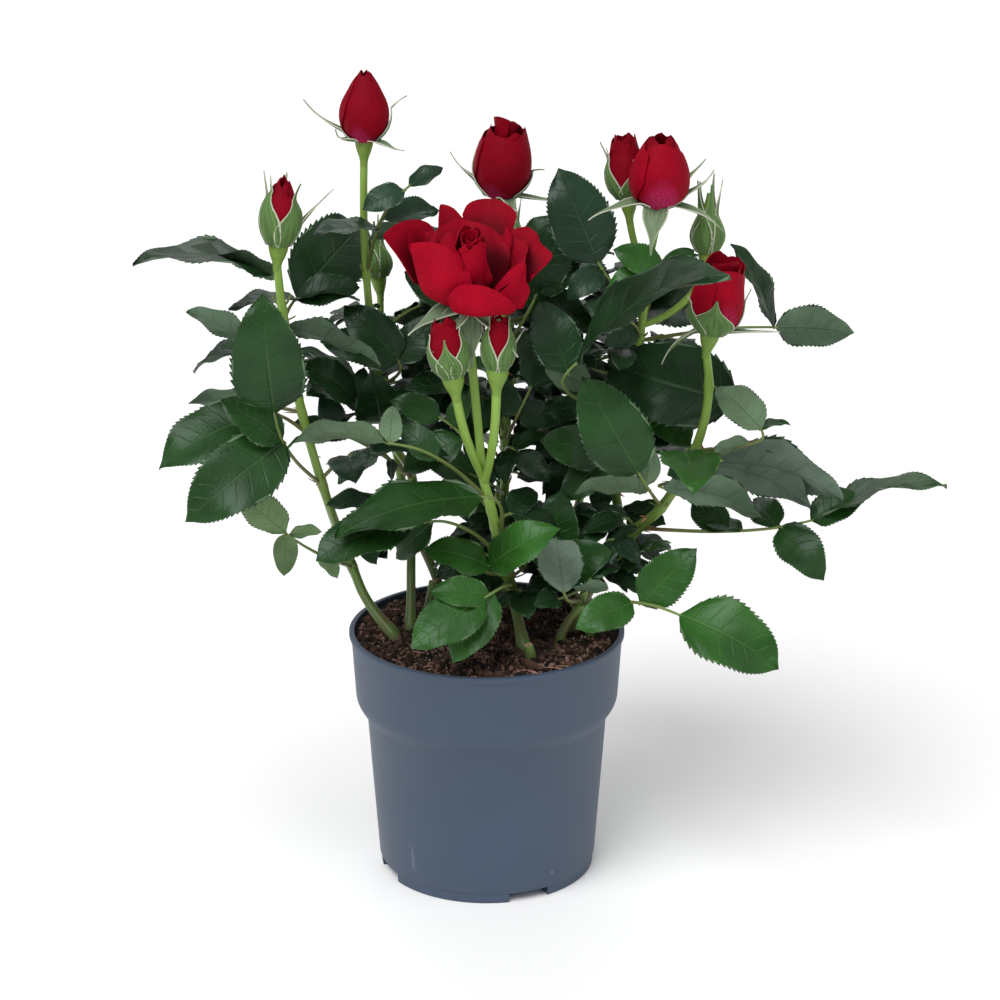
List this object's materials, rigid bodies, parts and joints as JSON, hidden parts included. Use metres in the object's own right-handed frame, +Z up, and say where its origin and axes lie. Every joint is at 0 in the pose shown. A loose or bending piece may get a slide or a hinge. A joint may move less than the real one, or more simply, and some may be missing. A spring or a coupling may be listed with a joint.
{
  "type": "potted miniature rose bush",
  "caption": "Miniature rose bush in a round plastic nursery pot: leaning green canes, arching compound leaves, red buds and an open red bloom above the foliage.",
  "frame": {"origin": "centre of the pot's flat underside, on the ground", "axes": "+Z up along the pot's axis, -Y is the plant's front"},
  "size_m": [0.2927, 0.1835, 0.3105],
  "materials": {
    "pot_plastic": "matte moulded plastic, blue grey",
    "peat_soil": "rough peat potting soil",
    "cane_bark": "smooth green bark",
    "foliage": "dark green leaves, red petals"
  },
  "bodies": {
    "root": {"pot": "pot_plastic", "soil": "peat_soil", "cane_left": "cane_bark", "cane_tall_left": "cane_bark", "cane_centre": "cane_bark", "cane_right": "cane_bark", "cane_low_right": "cane_bark", "cane_right_back": "cane_bark", "cane_centre_back": "cane_bark", "cane_back_left": "cane_bark", "cane_back": "cane_bark", "cane_back_right": "cane_bark", "stub_left": "cane_bark", "stub_middle": "cane_bark", "stub_right": "cane_bark", "shoot_left": "foliage", "shoot_tall_left": "foliage", "shoot_centre": "foliage", "shoot_right": "foliage", "shoot_low_right": "foliage", "shoot_right_back": "foliage", "shoot_centre_back": "foliage", "shoot_back_left": "foliage", "shoot_back": "foliage", "shoot_back_right": "foliage"}
  },
  "joints": []
}
